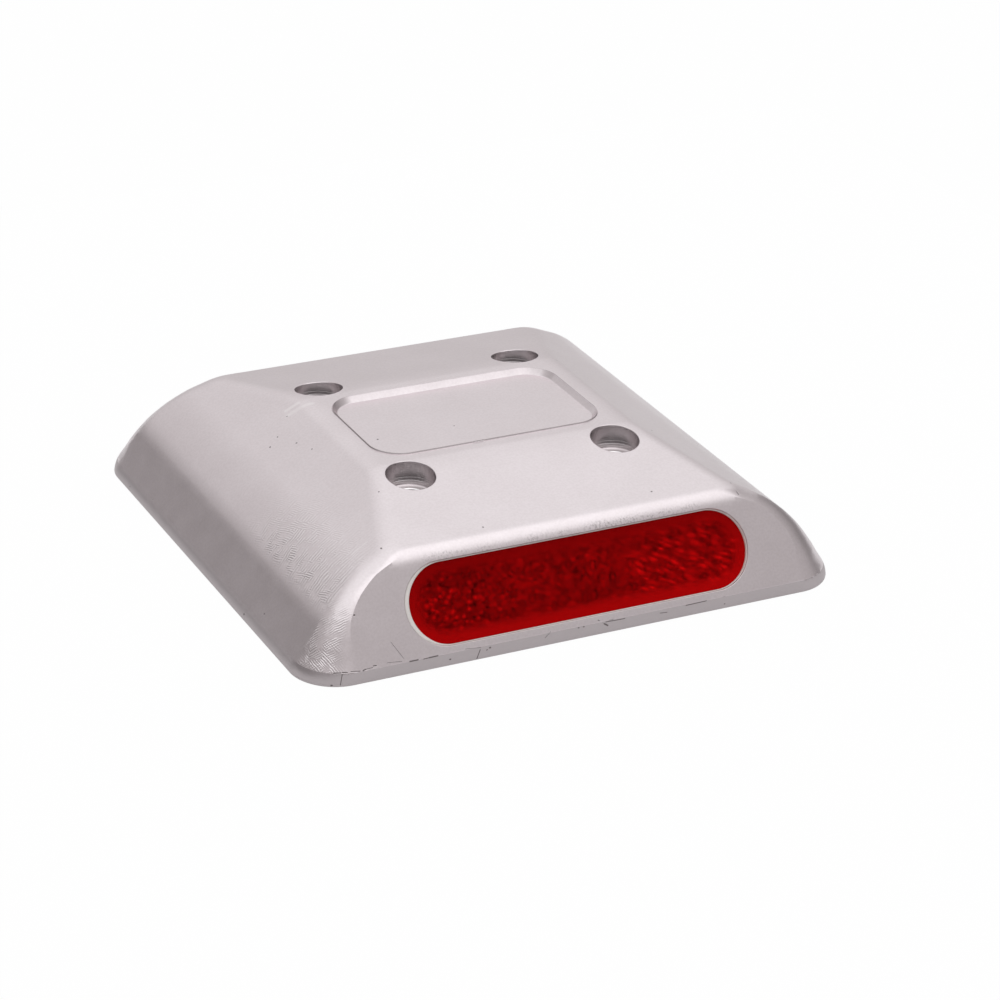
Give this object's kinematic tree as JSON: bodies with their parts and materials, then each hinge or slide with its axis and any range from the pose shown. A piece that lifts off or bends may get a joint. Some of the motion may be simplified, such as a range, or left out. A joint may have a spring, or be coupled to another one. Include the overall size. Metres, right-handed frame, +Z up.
{
  "type": "road stud",
  "caption": "Low cast aluminium road stud with sloped sides, counterbored screw holes, a bare crown panel and a red prismatic reflector bonded into each end face.",
  "frame": {"origin": "middle of the underside", "axes": "+Z up out of the road, X along the reflectors, the front reflector faces -Y"},
  "size_m": [0.125, 0.1186, 0.0272],
  "materials": {
    "casting": "satin, as cast",
    "lens": "clear red, prismatic inside",
    "backing": "moulded",
    "adhesive": "cured, satin"
  },
  "bodies": {
    "root": {"body_casting": "casting", "front_lens": "lens", "rear_lens": "lens", "front_reflector_backing": "backing", "rear_reflector_backing": "backing", "front_adhesive_bed": "adhesive", "rear_adhesive_bed": "adhesive"}
  },
  "joints": []
}
